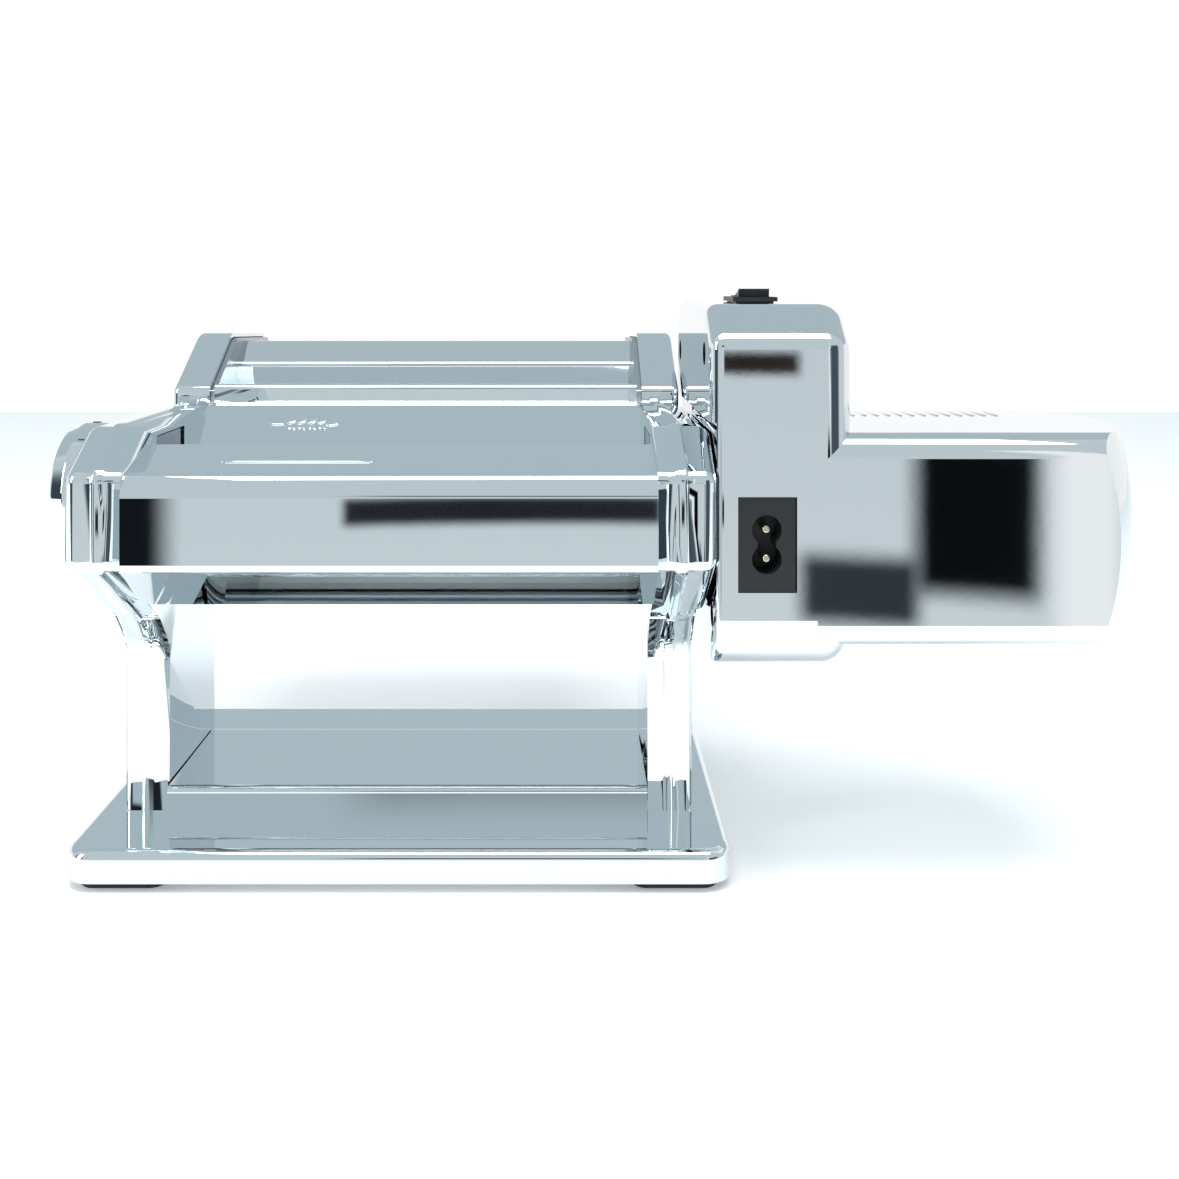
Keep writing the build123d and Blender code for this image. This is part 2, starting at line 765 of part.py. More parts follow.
def box_solid(inset, x0, x1, round_edge):
    """The gear housing between two planes, with one rounded rim."""
    with BuildPart(mode=Mode.PRIVATE) as housing:
        add(box_outline(inset).moved(Location((x0, 0, 0))))
        extrude(amount=x1 - x0, dir=(1, 0, 0))
        rim = housing.faces().sort_by(Axis.X)[0 if round_edge < 0 else -1]
        fillet(rim.edges(), abs(round_edge))
    return housing.part


inlet_x0 = parting_x - 17.3
inlet_x1 = parting_x - 0.3
inlet_z0 = 93.7
inlet_z1 = 121.8
switch_x = parting_x - 8.4
switch_y = -41.0
switch_width = 14.0
switch_length = 24.0
screw_places = ((-66.0, 84.0), (-62.0, 163.0), (20.0, 84.0), (18.0, 160.0))
output_r = 6.0
boss_r = 4.5

left_box = box_solid(0, box_high_x, parting_x, -4.0)
left_hollow = box_solid(shell, box_x + shell, parting_x, -2.0)
step_block = block(box_high_x - 1, box_x, -100, 60, 60, box_step_z)
with BuildPart() as gearbox_cover:
    add(left_box)
    add(step_block, mode=Mode.SUBTRACT)
    add(left_hollow, mode=Mode.SUBTRACT)
    for screw_y, screw_z in screw_places:
        add(rod(screw_y, screw_z, boss_r, box_x + 1, parting_x))
        add(rod(screw_y, screw_z, 2.0, box_x - 3, parting_x), mode=Mode.SUBTRACT)
        add(rod(screw_y, screw_z, 3.6, box_x - 3, box_x + 3), mode=Mode.SUBTRACT)
    add(rod(drive_y, axis_z, output_r + running, box_x - 1, box_x + shell), mode=Mode.SUBTRACT)
    add(block(inlet_x0, parting_x, box_front - 1, box_front + 8, inlet_z0, inlet_z1), mode=Mode.SUBTRACT)
    with Locations((switch_x, switch_y, box_top)):
        Box(switch_width - 2, switch_length - 2, 12, mode=Mode.SUBTRACT)
    for pin_y in locating_pins:
        add(rod(pin_y, axis_z, 3.0, head_x - 3, box_x + 0.5))
keep(gearbox_cover, "gearbox_cover")

right_box = box_solid(0, parting_x, box_right, 8.0)
right_hollow = box_solid(shell, parting_x, box_right - shell, 6.0)
body_outer = body_solid(0)
body_inner = body_solid(shell)
with BuildPart() as motor_housing:
    add(right_box)
    add(body_outer)
    add(right_hollow, mode=Mode.SUBTRACT)
    add(body_inner, mode=Mode.SUBTRACT)
    for screw_y, screw_z in screw_places[1:]:
        add(rod(screw_y, screw_z, boss_r, parting_x, box_right - 1.5))
        add(rod(screw_y, screw_z, 2.0, parting_x, parting_x + 10), mode=Mode.SUBTRACT)
keep(motor_housing, "motor_housing")

with BuildPart() as housing_screws:
    for screw_y, screw_z in screw_places[1:]:
        add(rod(screw_y, screw_z, 3.4, box_x + 1.2, box_x + 3))
        add(rod(screw_y, screw_z, 2.0, box_x + 3, parting_x + 9))
keep(housing_screws, "housing_screws")

# ---------------------------------------------------------------- motor unit: fittings
inlet_back = box_front + 15.0
pin_x = (inlet_x0 + inlet_x1) / 2
inlet_z = (inlet_z0 + inlet_z1) / 2
contact_r = 1.2
contact_spacing = 8.6
socket_r = 4.4
socket_depth = 11.0
inlet_face = box_front + 0.4
with BuildPart() as mains_inlet:
    add(block(inlet_x0 + 0.1, inlet_x1 - 0.1, inlet_face, inlet_back, inlet_z0 + 0.1, inlet_z1 - 0.1))
    with BuildSketch(Plane.XZ.offset(-inlet_face)):
        with Locations((pin_x, inlet_z + contact_spacing / 2), (pin_x, inlet_z - contact_spacing / 2)):
            Circle(socket_r)
        with Locations((pin_x, inlet_z)):
            Rectangle(5.6, contact_spacing)
    extrude(amount=-socket_depth, mode=Mode.SUBTRACT)
keep(mains_inlet, "mains_inlet")

with BuildPart() as inlet_pins:
    with BuildSketch(Plane.XZ.offset(-(inlet_face + socket_depth))):
        with Locations((pin_x, inlet_z + contact_spacing / 2), (pin_x, inlet_z - contact_spacing / 2)):
            Circle(contact_r)
    extrude(amount=socket_depth - 1.0)
    fillet(inlet_pins.faces().sort_by(Axis.Y)[0].edges(), 0.6)
    fillet(inlet_pins.faces().sort_by(Axis.Y)[1].edges(), 0.6)
keep(inlet_pins, "inlet_pins")

rocker_width = switch_width - 4.4
rocker_length = switch_length - 5.0
with BuildPart() as switch_bezel:
    with Locations((switch_x, switch_y, box_top + 0.5)):
        Box(switch_width, switch_length, 1.4)
    with Locations((switch_x, switch_y, box_top - 6)):
        Box(switch_width - 2.2, switch_length - 2.2, 12)
    with Locations((switch_x, switch_y, box_top)):
        Box(rocker_width + 0.8, rocker_length + 0.8, 9, mode=Mode.SUBTRACT)
keep(switch_bezel, "switch_bezel")

with BuildPart() as rocker_key:
    with BuildSketch(Plane.YZ.offset(switch_x - rocker_width / 2)):
        with BuildLine():
            Polyline(
                (switch_y + 8.6, box_top - 1.0),
                (switch_y + 2.0, box_top - 3.8),
                (switch_y - 2.0, box_top - 3.8),
                (switch_y - 8.6, box_top - 1.0),
                (switch_y - 9.2, box_top + 3.8),
            )
            ThreePointArc(
                (switch_y - 9.2, box_top + 3.8),
                (switch_y, box_top + 1.8),
                (switch_y + 9.2, box_top + 1.6),
            )
            Line((switch_y + 9.2, box_top + 1.6), (switch_y + 8.6, box_top - 1.0))
        make_face()
    extrude(amount=rocker_width)
keep(rocker_key, "rocker_key")

# ---------------------------------------------------------------- motor unit: drive train
stage_one = 25.4
stage_two = 30.4
pinion_teeth = 10
first_wheel_teeth = 40
second_pinion_teeth = 12
output_teeth = 36
reach_y = drive_y - motor_y
reach_z = axis_z - motor_z
span = (reach_y**2 + reach_z**2) ** 0.5
along = (stage_one**2 - stage_two**2 + span**2) / (2 * span)
across = (stage_one**2 - along**2) ** 0.5
idler_y = motor_y + (along * reach_y - across * reach_z) / span
idler_z = motor_z + (along * reach_z + across * reach_y) / span


def bearing(y0, z0, y1, z1):
    """Direction in degrees from one axis to another, in the Y-Z plane."""
    return degrees(atan2(z1 - z0, y1 - y0))


toward_idler = bearing(motor_y, motor_z, idler_y, idler_z)
toward_output = bearing(idler_y, idler_z, drive_y, axis_z)

can_r = 25.0
can_length = 59.0
can_x0 = box_right + 5.0
can_x1 = can_x0 + can_length
rotor_r = 2.5
with BuildPart() as motor_can:
    add(rod(motor_y, motor_z, can_r, can_x0, can_x1))
    add(rod(motor_y, motor_z, can_r - 1.6, can_x0 + 2, can_x1 - 2), mode=Mode.SUBTRACT)
    add(rod(motor_y, motor_z, rotor_r + running, can_x0, can_x1), mode=Mode.SUBTRACT)
keep(motor_can, "motor_can")

with BuildPart() as rotor:
    add(rod(motor_y, motor_z, rotor_r, parting_x - 0.5, can_x1 + 3))
    add(rod(motor_y, motor_z, 17.0, can_x0 + 12, can_x1 - 12))
    add(rod(motor_y, motor_z, 8.0, can_x1 - 10, can_x1 - 4))
keep(rotor, "rotor")

pinion_solid = gear(
    motor_y, motor_z, parting_x + 5.0, 8.0, pinion_teeth, 3.9, 6.0, 1.5, 0.6, toward_idler, rotor_r
)
with BuildPart() as motor_pinion:
    add(pinion_solid)
keep(motor_pinion, "motor_pinion")

idler_pin_r = 2.0
plate_x = parting_x - 1.0
plate_thick = 1.6
wheel_solid = gear(
    idler_y, idler_z, parting_x + 6.0, 6.0, first_wheel_teeth, 18.9, 21.0, 1.5, 0.6,
    toward_idler + 180 + 180 / first_wheel_teeth, 0,
)
small_solid = gear(
    idler_y, idler_z, parting_x - 14.0, 8.0, second_pinion_teeth, 6.1, 8.7, 1.9, 0.8, toward_output, 0
)
with BuildPart() as idler_gear:
    add(wheel_solid)
    add(small_solid)
    add(rod(idler_y, idler_z, 5.0, parting_x - 14.0, parting_x + 12.0))
    add(rod(idler_y, idler_z, idler_pin_r + running, parting_x - 14.0, parting_x + 12.0), mode=Mode.SUBTRACT)
keep(idler_gear, "idler_gear")

with BuildPart() as idler_pin:
    add(rod(idler_y, idler_z, idler_pin_r, box_x + shell, box_right - shell))
keep(idler_pin, "idler_pin")

output_solid = gear(
    drive_y, axis_z, parting_x - 13.0, 6.0, output_teeth, 21.1, 23.7, 1.9, 0.8,
    toward_output + 180 + 180 / output_teeth, output_r,
)
with BuildPart() as output_gear:
    add(output_solid)
keep(output_gear, "output_gear")

dog_start = cover_x - 10.5
with BuildPart() as drive_shaft:
    add(rod(drive_y, axis_z, output_r, cover_x + 0.2, parting_x + 7.0))
    with BuildSketch(Plane.YZ.offset(dog_start)):
        with Locations((drive_y, axis_z)):
            RegularPolygon(4.7, 6)
    extrude(amount=cover_x + 0.2 - dog_start)
keep(drive_shaft, "drive_shaft")

with BuildSketch() as plate_blank:
    with BuildLine():
        FilletPolyline(*box_corners(shell), radius=box_radii(shell), close=True)
    make_face()
plate_face = plate_blank.sketch
with BuildPart() as gear_plate:
    with BuildSketch(Plane.YZ.offset(plate_x)):
        add(plate_face)
        with Locations(*screw_places):
            Circle(boss_r, mode=Mode.SUBTRACT)
        with Locations((box_front, inlet_z)):
            Rectangle(2 * (inlet_back - box_front + 1), inlet_z1 - inlet_z0 + 2, mode=Mode.SUBTRACT)
        with Locations((idler_y, idler_z)):
            Circle(6.0, mode=Mode.SUBTRACT)
        with Locations((motor_y, motor_z)):
            Circle(9.0, mode=Mode.SUBTRACT)
    extrude(amount=plate_thick)
    add(rod(drive_y, axis_z, output_r + 2.5, plate_x - 2, plate_x + plate_thick + 2))
    add(rod(drive_y, axis_z, output_r + running, plate_x - 2, plate_x + plate_thick + 2), mode=Mode.SUBTRACT)
keep(gear_plate, "gear_plate")

board_x = can_x1 + 6.0
with BuildPart() as motor_mounts:
    for mount_x in (can_x0 + 5, can_x1 - 9):
        with BuildSketch(Plane.YZ.offset(mount_x)):
            with Locations((motor_y, motor_z)):
                RectangleRounded(
                    body_rear - box_front - 2 * shell,
                    body_top - body_low - 2 * shell,
                    body_corner - shell,
                )
                Circle(can_r, mode=Mode.SUBTRACT)
        extrude(amount=3.0)
    for post_side in (-30.0, 30.0):
        add(rod(motor_y + post_side, motor_z - 20, 2.5, can_x1 - 7, board_x))
keep(motor_mounts, "motor_mounts")

with BuildPart() as circuit_board:
    add(block(board_x, board_x + 1.6, motor_y - 33, motor_y + 33, motor_z - 25, motor_z + 14))
keep(circuit_board, "circuit_board")
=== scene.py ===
# %% [markdown]
# # A motor-driven pasta roller machine
# A chrome sheeting head stands on two legs. A strip cutter hooks on behind it and a
# motor unit plugs into its right-hand side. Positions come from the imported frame, so
# the picture and the solid model can't drift apart.

# %% Load the frame
import bpy
import bmesh
import json
import math
from mathutils import Matrix, Vector
from mathutils.bvhtree import BVHTree


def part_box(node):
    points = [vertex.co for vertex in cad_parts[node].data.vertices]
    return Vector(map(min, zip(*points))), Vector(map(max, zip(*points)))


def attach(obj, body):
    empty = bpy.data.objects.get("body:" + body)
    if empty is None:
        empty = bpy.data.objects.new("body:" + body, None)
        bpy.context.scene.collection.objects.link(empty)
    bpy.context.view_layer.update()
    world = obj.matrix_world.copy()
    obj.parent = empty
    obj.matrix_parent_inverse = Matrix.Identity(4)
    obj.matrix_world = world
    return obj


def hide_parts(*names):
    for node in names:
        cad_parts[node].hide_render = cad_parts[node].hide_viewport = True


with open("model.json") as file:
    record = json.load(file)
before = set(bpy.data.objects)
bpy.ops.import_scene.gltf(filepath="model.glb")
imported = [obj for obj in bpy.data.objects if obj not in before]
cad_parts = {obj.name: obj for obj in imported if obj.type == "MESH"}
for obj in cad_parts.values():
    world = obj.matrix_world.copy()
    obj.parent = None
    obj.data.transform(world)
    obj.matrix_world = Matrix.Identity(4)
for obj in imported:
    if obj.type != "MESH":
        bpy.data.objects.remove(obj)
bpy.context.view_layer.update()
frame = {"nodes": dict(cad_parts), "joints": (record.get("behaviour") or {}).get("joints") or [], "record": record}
MM = 0.001

# %% [markdown]
# The camera stands level in front of the machine, a little right of its middle and as
# high as the top of the motor. A level camera keeps upright edges upright, and the lens
# is shifted down, as on a view camera, to bring the machine into the middle.

# %% Camera
LENS = 39.6
SHIFT_ACROSS, SHIFT_DOWN = 0.0233, -0.26
CAMERA_X, CAMERA_HEIGHT = 50.07 * MM, 184.6 * MM
CAMERA_DISTANCE = 391.7 * MM
base_low, base_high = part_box("base_tray")
camera_data = bpy.data.cameras.new("camera")
camera_data.lens = LENS
camera_data.sensor_width = 36.0
camera_data.shift_x = SHIFT_ACROSS
camera_data.shift_y = SHIFT_DOWN
camera = bpy.data.objects.new("camera", camera_data)
camera.location = (CAMERA_X, base_low[1] - CAMERA_DISTANCE, CAMERA_HEIGHT)
camera.rotation_euler = (math.radians(90), 0, 0)
bpy.context.scene.collection.objects.link(camera)
bpy.context.scene.camera = camera
bpy.context.scene.view_settings.view_transform = "Standard"
print("camera", tuple(camera.location))

# %% [markdown]
# Two small helpers keep every material readable: one turns an ordinary hex colour into
# the renderer's linear values, the other adds a node with its settings and its links.

# %% Helpers for colour and nodes


def colour(hex_code):
    """Linear RGBA from an sRGB hex code."""
    channels = [int(hex_code[i : i + 2], 16) / 255 for i in (1, 3, 5)]
    linear = [c / 12.92 if c <= 0.04045 else ((c + 0.055) / 1.055) ** 2.4 for c in channels]
    return (*linear, 1.0)


def node(tree, kind, inputs=None, **settings):
    """Add a node; inputs are values, or sockets to link from."""
    made = tree.nodes.new(kind)
    for key, value in settings.items():
        setattr(made, key, value)
    for key, value in (inputs or {}).items():
        if isinstance(value, bpy.types.NodeSocket):
            tree.links.new(value, made.inputs[key])
        else:
            made.inputs[key].default_value = value
    return made


print("helpers ready")

# %% [markdown]
# ## The studio
# Polished chrome has hardly any colour of its own and shows its surroundings, so the
# studio is the most important material here. Real cards and a tent could be built as
# meshes. One world shader that reads the direction of each ray is simpler to tune: it
# knows how far a direction lies to the right and how far above the horizon.

# %% Directions as angles
world = bpy.data.worlds.new("studio_tent")
world.use_nodes = True
bpy.context.scene.world = world
sky = world.node_tree
sky.nodes.clear()
ray = node(sky, "ShaderNodeTexCoord").outputs["Generated"]
axes = node(sky, "ShaderNodeSeparateXYZ", {0: ray})
backward = node(
    sky, "ShaderNodeMath", {0: axes.outputs["Y"], 1: -1.0}, operation="MULTIPLY"
).outputs[0]
azimuth = node(
    sky, "ShaderNodeMath", {0: axes.outputs["X"], 1: backward}, operation="ARCTAN2"
).outputs[0]
elevation = node(
    sky, "ShaderNodeMath", {0: axes.outputs["Z"]}, operation="ARCSINE"
).outputs[0]
print("direction nodes", len(sky.nodes))

# %% [markdown]
# Behind the machine the tent is white up to a low height and pale blue-grey above it,
# which gives the deck and the top plates their cool tone. In front it runs from nearly
# white below to light grey above.

# %% Tent
ROOF_STARTS, ROOF_FULL = math.radians(12.5), math.radians(16.0)
GLOW_LOW, GLOW_HIGH = math.radians(-50), math.radians(10)
SOFT_STEPS = {
    "behind": (axes.outputs["Y"], -0.05, 0.12),
    "roof": (elevation, ROOF_STARTS, ROOF_FULL),
    "glow": (elevation, GLOW_LOW, GLOW_HIGH),
}
steps = {
    name: node(
        sky, "ShaderNodeMapRange", {"Value": value, "From Min": low, "From Max": high},
        interpolation_type="SMOOTHSTEP",
    ).outputs[0]
    for name, (value, low, high) in SOFT_STEPS.items()
}
roof_behind = node(
    sky, "ShaderNodeMath", {0: steps["behind"], 1: steps["roof"]}, operation="MULTIPLY"
).outputs[0]
tent = node(
    sky, "ShaderNodeMix",
    {"Factor": roof_behind, "A": colour("#ffffff"), "B": colour("#b9c6cc")},
    data_type="RGBA",
).outputs["Result"]
front_tone = node(
    sky, "ShaderNodeMix",
    {"Factor": steps["glow"], "A": colour("#eef3f4"), "B": colour("#ccd6d9")},
    data_type="RGBA",
).outputs["Result"]
tone = node(
    sky, "ShaderNodeMix",
    {"Factor": steps["behind"], "A": front_tone, "B": tent},
    data_type="RGBA",
).outputs["Result"]
print("tent nodes", len(sky.nodes))

# %% [markdown]
# Chrome needs dark edges to read as chrome. Each card fills a window of directions in
# front of the machine: small dark ones below the lens for the flat faces, a dark one
# above it for the bends, large grey ones at both sides, and two white ones that clean
# up the base and the end of the motor. Cards are laid one over another in this order.

# %% Cards
# colour, azimuth from and to, elevation from and to, softness of the edges, in degrees
CARDS = (
    ("#0b0d10", 15.2, 20.3, -13.0, -6.6, 0.7),
    ("#33393f", 10.4, 15.4, -14.4, -11.6, 0.6),
    ("#22272c", -9.6, 4.4, -10.5, -9.3, 0.3),
    ("#2b2522", 6.9, 10.4, -4.0, -3.0, 0.3),
    ("#ffffff", -14.0, 9.0, -33.0, -19.5, 2.0),
    ("#14181c", -20.5, -17.0, -14.0, -6.5, 0.8),
    ("#23272c", -9.0, 5.0, 12.0, 21.0, 2.0),
    ("#4a555c", 24.0, 60.0, -25.0, 18.0, 5.0),
    ("#3c464d", -75.0, -45.0, -20.0, 30.0, 6.0),
    ("#ffffff", 20.8, 23.5, -30.0, 30.0, 0.8),
)


def card_mask(window, softness):
    """The mask of a card that fills a window of directions, with soft edges."""
    left, right, bottom, top = (math.radians(v) for v in window)
    soft = math.radians(softness)
    edges = (
        (azimuth, left - soft, left + soft),
        (azimuth, right + soft, right - soft),
        (elevation, bottom - soft, bottom + soft),
        (elevation, top + soft, top - soft),
    )
    mask = 1.0
    for angle, outside, inside in edges:
        step = node(
            sky, "ShaderNodeMapRange",
            {"Value": angle, "From Min": outside, "From Max": inside},
            interpolation_type="SMOOTHSTEP",
        ).outputs[0]
        mask = node(sky, "ShaderNodeMath", {0: mask, 1: step}, operation="MULTIPLY").outputs[0]
    return mask


for card_colour, *window, softness in CARDS:
    tone = node(
        sky, "ShaderNodeMix",
        {"Factor": card_mask(window, softness), "A": tone, "B": colour(card_colour)},
        data_type="RGBA",
    ).outputs["Result"]
background = node(sky, "ShaderNodeBackground", {"Color": tone, "Strength": 1.05})
node(sky, "ShaderNodeOutputWorld", {"Surface": background.outputs[0]})
print("cards", len(CARDS), "studio nodes", len(sky.nodes))

# %% [markdown]
# A broad soft lamp above and in front gives the white streaks along bends and rims, and
# a tall one on the left lights the side of the regulator.

# %% Lamps
# name, place, aim and size in metres, power in watts
LAMPS = (
    ("top_softbox", (0.1, -0.3, 1.1), (0.05, 0.0, 0.1), (0.9, 0.5), 9.0),
    ("left_softbox", (-1.0, -0.6, 0.5), (0.0, 0.0, 0.1), (0.3, 0.8), 5.0),
)
for name, place, aim, size, power in LAMPS:
    lamp_data = bpy.data.lights.new(name, "AREA")
    lamp_data.shape = "RECTANGLE"
    lamp_data.size, lamp_data.size_y = size
    lamp_data.energy = power
    lamp = bpy.data.objects.new(name, lamp_data)
    lamp.location = place
    lamp.rotation_euler = (Vector(aim) - Vector(place)).to_track_quat("-Z", "Y").to_euler()
    bpy.context.scene.collection.objects.link(lamp)
print("lamps", len(LAMPS))

# %% [markdown]
# The machine stands on a plain pale sweep of lacquered card. It stops a little way in
# front, so the chrome still mirrors the cards that hang below the lens. Card this size
# would turn grey under the tent's light alone, so it is given a slight glow.

# %% Floor
FLOOR_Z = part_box("rubber_feet")[0][2]
FLOOR = ((-1.2, -0.36), (1.2, -0.36), (1.2, 1.4), (-1.2, 1.4))
FIBRE = 3 * MM  # clumps of paper fibre, coarser than real so that they can show
floor_mesh = bpy.data.meshes.new("floor")
floor_mesh.from_pydata([(x, y, FLOOR_Z) for x, y in FLOOR], [], [(0, 1, 2, 3)])
floor_card = bpy.data.materials.new("pale_card_floor")
floor_card.use_nodes = True
tree = floor_card.node_tree
fibre = node(tree, "ShaderNodeTexNoise", {"Scale": 1 / FIBRE, "Detail": 4.0})
faint = node(
    tree, "ShaderNodeMath", {0: fibre.outputs["Fac"], 1: 0.04}, operation="MULTIPLY"
).outputs[0]
shade = node(
    tree, "ShaderNodeMix",
    {"Factor": faint, "A": colour("#fbfcfc"), "B": colour("#d9dcdd")},
    data_type="RGBA",
).outputs["Result"]
floor_shader = tree.nodes["Principled BSDF"]
tree.links.new(shade, floor_shader.inputs["Base Color"])
floor_shader.inputs["Roughness"].default_value = 0.6
floor_shader.inputs["Emission Color"].default_value = colour("#ffffff")
floor_shader.inputs["Emission Strength"].default_value = 0.22
floor_mesh.materials.append(floor_card)
floor = bpy.data.objects.new("floor", floor_mesh)
bpy.context.scene.collection.objects.link(floor)
print("floor at", FLOOR_Z)

# %% [markdown]
# ## Materials
# Each finish is named for what it really is. All are built the same way: a fine grain
# sized in millimetres gives a slight relief and a slight change of colour, and a slow
# cloud, about as wide as a thumb, makes the gloss uneven, as handling and wear do.

# %% Material builder
CLOUD = 35 * MM  # patches of handling and wear
RELIEF = 0.02 * MM  # height of the surface grain
DULL = "#6f7880"  # the grey that speckles lean towards


def finish(name, base, metallic, roughness, swing, grain_mm, bump, speckle=0.0, stretch=(1, 1, 1)):
    """A finish with uneven roughness, a fine bump and a slight change of colour."""
    material = bpy.data.materials.new(name)
    material.use_nodes = True
    tree = material.node_tree
    shader = tree.nodes["Principled BSDF"]
    place = node(tree, "ShaderNodeTexCoord").outputs["Object"]
    stretched = node(tree, "ShaderNodeMapping", {"Vector": place, "Scale": stretch}).outputs[0]
    grain = node(
        tree, "ShaderNodeTexNoise",
        {"Vector": stretched, "Scale": 1 / (grain_mm * MM), "Detail": 4.0},
    ).outputs["Fac"]
    cloud = node(
        tree, "ShaderNodeTexNoise", {"Vector": place, "Scale": 1 / CLOUD, "Detail": 3.0}
    ).outputs["Fac"]
    rough = node(
        tree, "ShaderNodeMapRange",
        {"Value": cloud, "To Min": roughness, "To Max": roughness + swing},
    )
    share = node(tree, "ShaderNodeMath", {0: grain, 1: speckle}, operation="MULTIPLY").outputs[0]
    tint = node(
        tree, "ShaderNodeMix",
        {"Factor": share, "A": colour(base), "B": colour(DULL)},
        data_type="RGBA",
    )
    relief = node(
        tree, "ShaderNodeBump", {"Height": grain, "Strength": bump, "Distance": RELIEF}
    )
    tree.links.new(tint.outputs["Result"], shader.inputs["Base Color"])
    tree.links.new(rough.outputs[0], shader.inputs["Roughness"])
    tree.links.new(relief.outputs[0], shader.inputs["Normal"])
    shader.inputs["Metallic"].default_value = metallic
    return material


print("material builder ready")

# %% [markdown]
# The metals come first. Chrome plate is a bright, slightly blue mirror. Over rolled and
# pressed steel it shows a very faint waviness, and over moulded ABS a softer orange
# peel. The insides use plainer metals: turned steel, porous bronze and nickelled brass.

# %% Metal finishes
# name, colour, metallic, roughness, its swing, grain in mm, relief, speckle, stretch
FINISHES = {
    # Rolled sheet: the waviness is about 9 mm long and hardly bends the reflections.
    "chrome_plate": finish("chrome_plated_steel", "#dfe6e9", 1.0, 0.012, 0.02, 9.0, 0.05, 0.02),
    # Moulded shell: the peel is finer, about 6 mm, and twice as strong.
    "plated_plastic": finish("chrome_plated_abs", "#e1e6e9", 1.0, 0.015, 0.02, 6.0, 0.10, 0.02),
    # Barrel-plated contacts: warm, satin, with half-millimetre tumbling marks.
    "contact_pins": finish("nickel_plated_brass", "#cfc8ad", 1.0, 0.18, 0.1, 0.5, 0.2, 0.1),
    # Pressed powder: pores of a third of a millimetre break up the gloss.
    "bronze": finish("sintered_bronze", "#a9783c", 1.0, 0.35, 0.2, 0.3, 0.5, 0.3),
    # Turned on a lathe: rings 0.15 mm apart, so the grain is drawn out around X.
    "steel": finish("turned_steel", "#aeb3b8", 1.0, 0.25, 0.15, 0.15, 0.3, 0.15, (1, 30, 30)),
}
print("metals", [f.name for f in FINISHES.values()])

# %% [markdown]
# The rest is moulded or pressed and mostly matt: the switch and inlet are black nylon,
# the feet are rubber, the guides are white acetal and the board is glass and epoxy.

# %% Moulded finishes
FINISHES.update({
    # Glass-filled nylon: spark-eroded mould texture of a quarter millimetre.
    "black_plastic": finish(
        "black_glass_filled_nylon", "#15171a", 0.0, 0.38, 0.12, 0.25, 0.35, 0.05
    ),
    # Nitrile rubber: duller and a little coarser.
    "rubber": finish("black_nitrile_rubber", "#101215", 0.0, 0.6, 0.2, 0.4, 0.5, 0.06),
    # Acetal: smooth, faintly waxy.
    "white_plastic": finish("white_acetal", "#e6e5df", 0.0, 0.35, 0.1, 0.8, 0.2, 0.03),
    # Circuit board: the glass weave shows through the green lacquer at 0.6 mm.
    "board": finish("glass_epoxy_board", "#1c5a34", 0.0, 0.4, 0.1, 0.6, 0.3, 0.1),
})
print("finishes", len(FINISHES))

# %% Give every solid its finish
for part in frame["record"]["subparts"]:
    holder = frame["nodes"][part["node"]]
    for slot_place in holder.material_slots:
        slot_place.material = FINISHES[part["material_slot"]]

# %% [markdown]
# ## Pressed bands on the side casings
# The casings are pressed from sheet, with a narrow bead all the way round where the two
# halves meet. The bead is what is left when the strips on both sides of it are pressed
# in, so each casing is cut across at the band edges and its outer wall is moved inwards.

# %% Find the outer wall
BAND_PRESS = 0.9 * MM
BAND_RAMP = 0.6 * MM
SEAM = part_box("right_side_frame")[1][0]
BEAD_INNER = SEAM - 2.2 * MM
BEAD_OUTER = SEAM + 0.8 * MM
WELD = 0.001 * MM  # points closer than this are one point
SHARP = math.radians(28)  # folds tighter than this stay crisp


def is_outer(face, tree):
    """True for a wall face that sees nothing of its own casing straight outwards."""
    out = Vector((0, face.normal.y, face.normal.z))
    if out.length < 0.35:
        return False
    out.normalize()
    return tree.ray_cast(face.calc_center_median() + out * 0.05 * MM, out)[0] is None


print("seam at", SEAM)

# %% [markdown]
# The node's own mesh is copied, so the piece keeps the solid's shape and only the bands
# differ. The lowest millimetre is left alone, because there the casing meets the base.

# %% Press the bands


def cut_across(mesh, places):
    """Add edge loops round a casing at these distances along X."""
    for place in places:
        whole = mesh.verts[:] + mesh.edges[:] + mesh.faces[:]
        bmesh.ops.bisect_plane(
            mesh, geom=whole, plane_co=(place, 0, 0), plane_no=(1, 0, 0), dist=WELD
        )
    mesh.normal_update()


def press_outer_wall(mesh, edge, away):
    """Move the outer wall in beyond an edge; away is +1 to the end and -1 to the middle."""
    tree = BVHTree.FromBMesh(mesh)
    foot = min(v.co.z for v in mesh.verts) + 1.0 * MM
    push = {}
    for face in mesh.faces:
        if is_outer(face, tree):
            out = Vector((0, face.normal.y, face.normal.z)).normalized()
            for v in face.verts:
                beyond = away * (abs(v.co.x) - edge) - BAND_RAMP
                if beyond > -0.01 * MM and v.co.z > foot:
                    push.setdefault(v, []).append(out)
    for v, outs in push.items():
        v.co -= sum(outs, Vector()).normalized() * BAND_PRESS
    return len(push)


